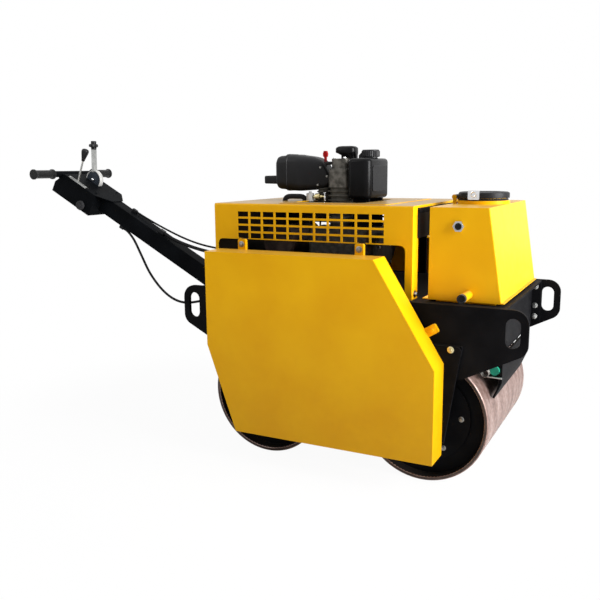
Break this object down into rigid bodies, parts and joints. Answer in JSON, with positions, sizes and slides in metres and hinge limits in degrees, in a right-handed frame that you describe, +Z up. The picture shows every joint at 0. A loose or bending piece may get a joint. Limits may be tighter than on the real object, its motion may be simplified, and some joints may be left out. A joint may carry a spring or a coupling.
{
  "type": "walk-behind double-drum roller",
  "caption": "Walk-behind vibratory roller with a drum at each end, a slotted engine hood, a sloped water tank, folded drive covers and a pivoted tiller with controls.",
  "frame": {"origin": "on the ground, below the middle of the whole roller with its tiller at rest", "axes": "+X ahead, from the tiller towards the water tank; +Y to the machine's left; +Z up"},
  "size_m": [2.1094, 0.884, 1.1405],
  "materials": {
    "black_paint": "satin black paint on plate",
    "yellow_paint": "gloss yellow paint on folded sheet",
    "drum_steel": "bare rolled steel with a thin film of rust",
    "bare_steel": "turned steel",
    "zinc": "zinc-plated steel",
    "cast_aluminium": "dull cast aluminium",
    "black_plastic": "matt black moulded plastic",
    "green_plastic": "green moulded pipe cap",
    "grey_plastic": "light grey water pipe",
    "red_paint": "red painted lever",
    "hot_steel": "heat-stained steel sheet",
    "grip_rubber": "black moulded rubber",
    "cable_rubber": "black cable sheath"
  },
  "bodies": {
    "chassis": {"side_plate_right": "black_paint", "side_plate_left": "black_paint", "front_cross_plate": "black_paint", "rear_cross_plate": "black_paint", "bed_plate": "black_paint", "drum_hangers": "black_paint", "axle_stubs": "bare_steel", "hood": "yellow_paint", "cover_right": "yellow_paint", "cover_left": "yellow_paint", "tank_body": "yellow_paint", "tank_top": "yellow_paint", "tank_fittings": "zinc", "crankcase": "cast_aluminium", "finned_cylinder": "cast_aluminium", "cylinder_head": "cast_aluminium", "recoil_housing": "black_plastic", "air_cleaner": "black_plastic", "fuel_tank": "black_plastic", "fuel_cap": "black_plastic", "breather_cap": "black_plastic", "decompression_lever": "red_paint", "exhaust": "hot_steel", "scrapers": "black_paint", "sprinkler_pipes": "grey_plastic", "sprinkler_caps": "green_plastic", "cable_glands": "black_plastic", "tiller_pin": "zinc", "throttle_cable": "cable_rubber", "control_hose": "cable_rubber", "hanging_cable": "cable_rubber"},
    "front_drum": {"front_drum": "drum_steel", "front_hub_plates": "black_paint"},
    "rear_drum": {"rear_drum": "drum_steel", "rear_hub_plates": "black_paint"},
    "tiller": {"tiller_arm": "black_paint", "cable_clips": "black_plastic", "console": "black_paint", "handlebar": "black_paint", "grips": "grip_rubber", "control_levers": "zinc", "lever_quadrant": "bare_steel", "lever_knobs": "black_plastic", "console_plug": "black_plastic"},
    "tank_lid": {"tank_lid": "black_plastic"}
  },
  "joints": [
    {"name": "front_drum_spin", "type": "hinge", "parent": "chassis", "child": "front_drum", "pos_m": [0.7287, 0, 0.2125], "axis": [0, 1, 0], "continuous": true},
    {"name": "rear_drum_spin", "type": "hinge", "parent": "chassis", "child": "rear_drum", "pos_m": [0.1487, 0, 0.2125], "axis": [0, 1, 0], "continuous": true},
    {"name": "tiller_lift", "type": "hinge", "parent": "chassis", "child": "tiller", "pos_m": [-0.1463, 0, 0.505], "axis": [0, 1, 0], "range_deg": [0, 55], "deforming": ["throttle_cable", "control_hose", "hanging_cable"]},
    {"name": "tank_lid_hinge", "type": "hinge", "parent": "chassis", "child": "tank_lid", "pos_m": [0.7397, 0, 0.914], "axis": [0, -1, 0], "range_deg": [0, 100]}
  ]
}
